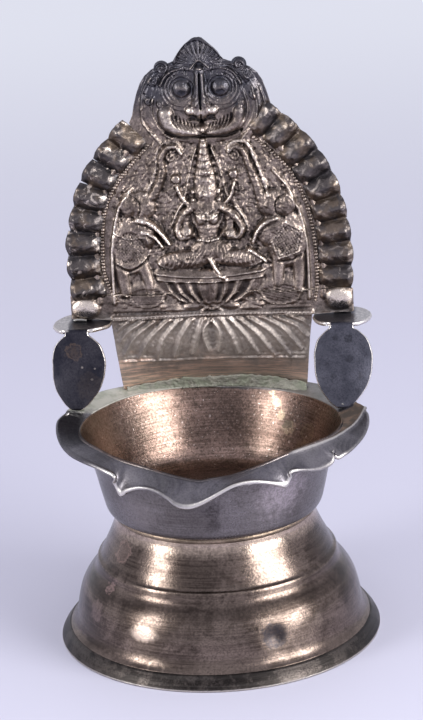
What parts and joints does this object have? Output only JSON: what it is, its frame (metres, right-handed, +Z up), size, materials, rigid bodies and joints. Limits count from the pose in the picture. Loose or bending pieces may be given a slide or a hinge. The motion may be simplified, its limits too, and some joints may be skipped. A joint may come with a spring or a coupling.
{
  "type": "butter lamp",
  "caption": "Small silver oil lamp: round cup with a lobed rim on a hollow stepped foot, with an embossed arched back plate and leaf brackets.",
  "frame": {"origin": "centre of the foot on the table", "axes": "+Z up along the lamp's axis, front of the lamp looks along -Y, +X to the right seen from the front"},
  "size_m": [0.0662, 0.066, 0.1199],
  "materials": {
    "foot_edge_silver": "tarnished silver, dark speckles, bright worn edge",
    "foot_silver": "spun silver, aged brown and grey with fine turning lines",
    "neck_silver": "rubbed solder ring, warm silver",
    "cup_silver": "grey silver outside, warm copper-brown heat tint inside",
    "rim_silver": "grey silver sheet with bright worn edges",
    "plate_silver": "embossed silver, dark tarnish in the hollows and rubbed bright heights",
    "leaf_silver": "blue-black tarnished silver sheet",
    "solder": "dull grey-green solder and verdigris"
  },
  "bodies": {
    "root": {"foot_rim": "foot_edge_silver", "foot_dome": "foot_silver", "neck_solder_ring": "neck_silver", "bowl": "cup_silver", "bowl_rim": "rim_silver", "back_plate": "plate_silver", "plate_solder_seam": "solder", "leaf_bracket_left": "leaf_silver", "leaf_bracket_right": "leaf_silver", "leaf_solder_left": "solder", "leaf_solder_right": "solder", "shoulder_solder_left": "solder", "shoulder_solder_right": "solder"}
  },
  "joints": []
}
